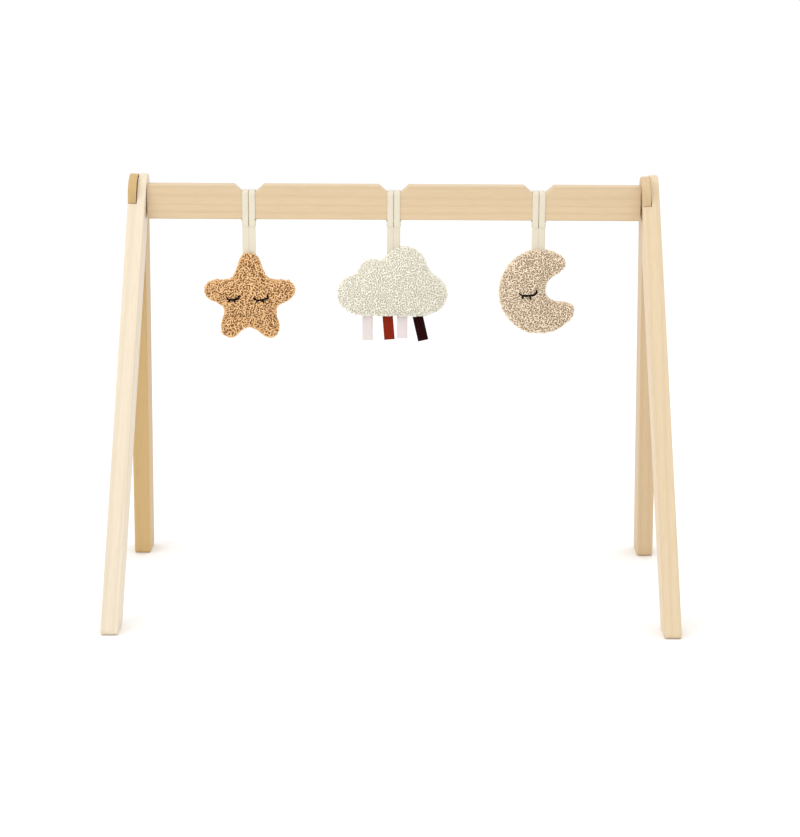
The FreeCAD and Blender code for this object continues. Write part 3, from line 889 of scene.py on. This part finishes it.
def ribbon(node, material, bend):
    """A ribbon folded in two, its loop at the foot and both ends sewn into the cloud."""
    top = Vector(JOINTS[f"{node}_swing"]["pos_m"])
    low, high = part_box(node)
    middle = Vector(tuple((np.array(low) + np.array(high)) / 2))
    down = (middle - top).normalized()
    lean = abs(math.asin(max(-1.0, min(1.0, down.x))))
    length = (high[2] - low[2] - RIBBON_WIDTH * math.sin(lean)) / math.cos(lean)
    toward = Vector((0, -1, 0))
    above_fold = length - RIBBON_FOLD
    points = [
        top - down * RIBBON_SEWN + toward * RIBBON_GAP * 0.4,
        top + toward * RIBBON_GAP * 0.5,
        top + down * length * 0.35 + toward * (RIBBON_GAP + RIBBON_BELLY * bend),
        top + down * length * 0.7 + toward * (RIBBON_GAP + RIBBON_BELLY * bend * 0.8),
        top + down * above_fold + toward * (RIBBON_GAP + 0.3 * MM),
        top + down * length,
        top + down * above_fold - toward * (RIBBON_GAP + 0.3 * MM),
        top + down * length * 0.6 - toward * (RIBBON_GAP + RIBBON_BELLY * (0.4 - bend * 0.5)),
        top - toward * RIBBON_GAP * 0.5,
        top - down * RIBBON_SEWN - toward * RIBBON_GAP * 0.4,
    ]
    path = smooth_path(points, 0.9 * MM)
    across = down.cross(toward).normalized()
    sides = [(across, across.cross(tangent).normalized()) for tangent in directions(path)]
    section = band_section(RIBBON_WIDTH, RIBBON_THICK)
    item = new_object(f"{node}_tag_cloth", *swept(path, sides, section), material)
    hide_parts(node)
    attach(item, f"{node}_tag")


# ---------------------------------------------------------------- stage, lights, camera

FLOOR_REACH = 60.0
SKY_STRENGTH = 1.07
KEY_POWER = 14
TOP_POWER = 6
LIGHT_AIM = (0, 0, 0.3)


def stage():
    """The white floor and sky, and two soft lights."""
    floor_shader = Shader("pale_floor", roughness=0.9)
    drift = floor_shader.noise(floor_shader.place, 1.5, 2)
    floor_shader.colour(floor_shader.mix(drift, (0.94, 0.94, 0.94, 1), (0.96, 0.96, 0.96, 1)))
    corners = [(x * FLOOR_REACH, y * FLOOR_REACH, 0) for x, y in ((-1, -1), (1, -1), (1, 1), (-1, 1))]
    floor = new_object("floor", corners, [(0, 1, 2, 3)], floor_shader.material, smooth=False)

    world = bpy.data.worlds.new("studio")
    world.use_nodes = True
    background = world.node_tree.nodes["Background"]
    background.inputs["Color"].default_value = (1, 1, 1, 1)
    background.inputs["Strength"].default_value = SKY_STRENGTH
    bpy.context.scene.world = world
    bpy.context.scene.view_settings.view_transform = "Standard"

    def panel(name, place, width, power):
        light = bpy.data.lights.new(name, "AREA")
        light.shape = "SQUARE"
        light.size = width
        light.energy = power
        item = bpy.data.objects.new(name, light)
        bpy.context.scene.collection.objects.link(item)
        item.location = place
        item.rotation_euler = (Vector(LIGHT_AIM) - Vector(place)).to_track_quat("-Z", "Y").to_euler()

    panel("key", (-1.6, -1.7, 1.9), 1.4, KEY_POWER)
    panel("top", (0.3, -0.2, 2.4), 1.6, TOP_POWER)


CAMERA_PLACE = (0.0239, -2.619, 0.917)
CAMERA_PITCH = -14.572
CAMERA_YAW = -0.323
CAMERA_ROLL = 0.251
CAMERA_LENS = 88.4


def camera():
    """The camera, from its place and its three angles."""
    pitch = math.radians(CAMERA_PITCH)
    yaw = math.radians(CAMERA_YAW)
    roll = math.radians(CAMERA_ROLL)
    forward = Vector((math.sin(yaw) * math.cos(pitch), math.cos(yaw) * math.cos(pitch), math.sin(pitch)))
    level = Vector((math.cos(yaw), -math.sin(yaw), 0))
    upright = level.cross(forward)
    right = level * math.cos(roll) + upright * math.sin(roll)
    up = upright * math.cos(roll) - level * math.sin(roll)
    data = bpy.data.cameras.new("camera")
    data.sensor_width = 36
    data.lens = CAMERA_LENS
    item = bpy.data.objects.new("camera", data)
    bpy.context.scene.collection.objects.link(item)
    rotation = Matrix((right, up, -forward)).transposed().to_4x4()
    item.matrix_world = Matrix.Translation(CAMERA_PLACE) @ rotation
    bpy.context.scene.camera = item


# ---------------------------------------------------------------- assembly

camera()
stage()
timber()
TAPE = tape_material()
for toy_name in TOYS:
    strap(toy_name, TAPE)
EYE_THREAD = thread_material()
PILES = {
    "star": ("teddy_tan", TAN_TIP, TAN_SHADED_ROOT),
    "cloud": ("teddy_white", WHITE_TIP, WHITE_SHADED_ROOT),
    "moon": ("teddy_beige", BEIGE_TIP, BEIGE_SHADED_ROOT),
}
for toy_seed, (toy_name, (slot_name, tip_colour, shaded_root_colour)) in enumerate(PILES.items(), 1):
    toy(toy_name, slot_name, pile_material(f"{slot_name}_pile", tip_colour, shaded_root_colour),
        backing_material(f"{slot_name}_backing", shaded_root_colour), EYE_THREAD, toy_seed)
SATINS = {slot_name: ribbon_material(slot_name, *pair) for slot_name, pair in RIBBONS.items()}
RIBBON_TAGS = {
    # slot, and how much the ribbon bellies forward
    "ribbon_pale_left": ("ribbon_pale", 0.7),
    "ribbon_rust": ("ribbon_rust", 0.3),
    "ribbon_pale_right": ("ribbon_pale", 0.9),
    "ribbon_maroon": ("ribbon_maroon", 0.5),
}
for tag_node, (slot_name, belly) in RIBBON_TAGS.items():
    ribbon(tag_node, SATINS[slot_name], belly)
